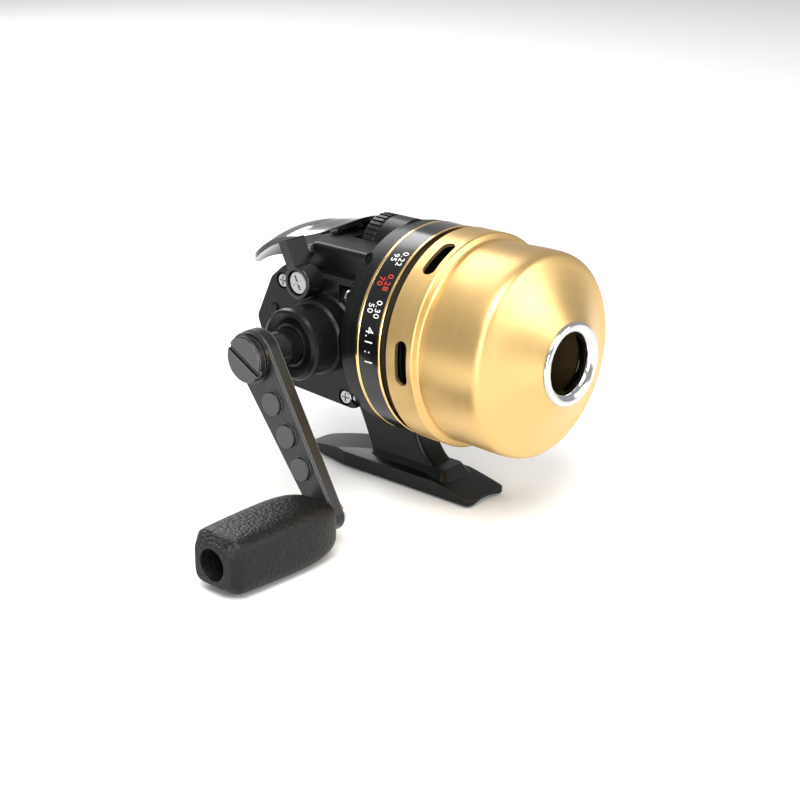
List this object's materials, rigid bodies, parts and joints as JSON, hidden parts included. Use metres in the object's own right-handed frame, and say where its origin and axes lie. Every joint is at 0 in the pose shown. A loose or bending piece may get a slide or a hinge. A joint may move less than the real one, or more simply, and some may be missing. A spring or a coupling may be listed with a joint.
{
  "type": "spincast reel",
  "caption": "Closed-face spincast reel: gold front cover over spool and spinner head, black geared body with foot, side crank with grip, thumb lever, drag dial and anti-reverse selector.",
  "frame": {"origin": "centre of the foot's underside, where the rod seat holds it", "axes": "+Z from the foot up to the reel, line leaves towards -Y, crank on -X"},
  "size_m": [0.1115, 0.1041, 0.0703],
  "materials": {
    "frame_black": "semi-gloss black paint on die-cast metal, slightly orange-peeled",
    "cover_gold": "satin gold, brushed around the axis",
    "trim_gold": "bright diamond-cut gold lines",
    "label": "gloss black strip with printed numerals",
    "chrome_guide": "hard chromed line guide",
    "seal_rubber": "matt black rubber",
    "screw_steel": "nickel-plated screws",
    "shaft_steel": "ground steel",
    "gear_brass": "machined brass",
    "gear_zinc": "bare zinc casting",
    "bush_bronze": "sintered bronze",
    "handle_black": "satin dark grey metal, bevelled edges bright",
    "neck_black": "gloss black",
    "grip_rubber": "pebbled black rubber",
    "grip_liner": "moulded nylon",
    "lever_black": "gloss black moulding",
    "knob_black": "gloss black moulding",
    "drag_black": "satin black moulding",
    "spool_plastic": "moulded nylon",
    "line_nylon": "clear nylon line, wound",
    "rotor_plate": "dark anodised aluminium",
    "washer_fibre": "fibre drag washers",
    "brake_rubber": "soft rubber",
    "spring_steel": "spring wire"
  },
  "bodies": {
    "frame": {"body_frame": "frame_black", "gear_cover": "frame_black", "gear_cover_screws": "screw_steel", "cover_dowel": "frame_black", "flange_screws": "screw_steel", "trim_ring": "trim_gold", "label_band": "label", "seal_ring": "seal_rubber", "drag_washers": "washer_fibre", "spool_clip": "spring_steel", "main_bushing": "bush_bronze", "crank_bush_outer": "bush_bronze", "crank_bush_inner": "bush_bronze", "lever_pin": "screw_steel", "guide_bush": "grip_liner", "return_spring": "spring_steel", "pawl_pin": "shaft_steel"},
    "cover": {"front_cover": "cover_gold", "cover_lock_ring": "spool_plastic", "nose_ring": "chrome_guide"},
    "spool": {"spool": "spool_plastic", "line_winding": "line_nylon"},
    "drag_dial": {"drag_wheel": "drag_black", "drag_screw": "shaft_steel"},
    "drag_slider": {"drag_nut": "gear_brass", "drag_shoe": "washer_fibre"},
    "crank": {"crank_shaft": "shaft_steel", "drive_gear": "gear_zinc", "ratchet_wheel": "gear_zinc", "crank_hub": "neck_black", "crank_arm": "handle_black", "crank_washer": "neck_black", "crank_nut": "handle_black", "grip_pin": "screw_steel", "grip_retainer": "grip_liner"},
    "grip": {"grip": "grip_rubber", "grip_bush": "grip_liner"},
    "pinion": {"pinion": "gear_brass"},
    "lever": {"thumb_lever": "lever_black"},
    "plunger": {"thrust_cap": "grip_liner"},
    "rotor": {"main_shaft": "shaft_steel", "rotor": "rotor_plate", "rotor_nut": "screw_steel", "pickup_pins": "shaft_steel", "brake_ring": "brake_rubber"},
    "selector": {"selector_knob": "knob_black", "selector_screw": "screw_steel", "selector_cam": "grip_liner"},
    "pawl": {"pawl": "shaft_steel"}
  },
  "joints": [
    {"name": "crank_spin", "type": "hinge", "parent": "frame", "child": "crank", "pos_m": [-0.03, 0.0048, 0.0425], "axis": [1, 0, 0], "continuous": true},
    {"name": "grip_spin", "type": "hinge", "parent": "crank", "child": "grip", "pos_m": [-0.06, -0.01871, 0.00698], "axis": [1, 0, 0], "continuous": true},
    {"name": "pinion_spin", "type": "hinge", "parent": "frame", "child": "pinion", "pos_m": [0, -0.01, 0.0425], "axis": [0, 1, 0], "continuous": true},
    {"name": "lever_press", "type": "hinge", "parent": "frame", "child": "lever", "pos_m": [0, 0.0153, 0.0613], "axis": [-1, 0, 0], "range_deg": [0, 9], "stiffness_Nm_per_rad": 0.6, "springref_deg": -14.32},
    {"name": "shaft_slide", "type": "slide", "parent": "frame", "child": "plunger", "axis": [0, -1, 0], "range_m": [0, 0.00295], "deforming": ["return_spring"]},
    {"name": "rotor_spin", "type": "hinge", "parent": "plunger", "child": "rotor", "pos_m": [0, -0.01, 0.0425], "axis": [0, 1, 0], "continuous": true},
    {"name": "spool_slip", "type": "hinge", "parent": "frame", "child": "spool", "pos_m": [0, -0.018, 0.0425], "axis": [0, 1, 0], "continuous": true},
    {"name": "drag_turn", "type": "hinge", "parent": "frame", "child": "drag_dial", "pos_m": [0, 0.002, 0.0612], "axis": [0, 1, 0], "range_deg": [-150, 150]},
    {"name": "drag_nut_slide", "type": "slide", "parent": "frame", "child": "drag_slider", "axis": [0, 1, 0], "range_m": [-0.00029, 0.00029]},
    {"name": "selector_turn", "type": "hinge", "parent": "frame", "child": "selector", "pos_m": [-0.02, 0.0104, 0.0556], "axis": [1, 0, 0], "range_deg": [0, 40]},
    {"name": "pawl_drop", "type": "hinge", "parent": "frame", "child": "pawl", "pos_m": [-0.0116, 0.0134, 0.0501], "axis": [1, 0, 0], "range_deg": [0, 18.1]},
    {"name": "cover_twist", "type": "hinge", "parent": "frame", "child": "cover", "pos_m": [0, -0.03, 0.0425], "axis": [0, 1, 0], "range_deg": [0, 45]}
  ],
  "couplings": [
    {"joint": "pinion_spin", "follows": "crank_spin", "ratio": -4.1},
    {"joint": "rotor_spin", "follows": "crank_spin", "ratio": -4.1},
    {"joint": "lever_press", "follows": "shaft_slide", "rad_per_m": 53.191},
    {"joint": "drag_turn", "follows": "drag_nut_slide", "rad_per_m": 8976},
    {"joint": "pawl_drop", "follows": "selector_turn", "ratio": 0.45}
  ]
}
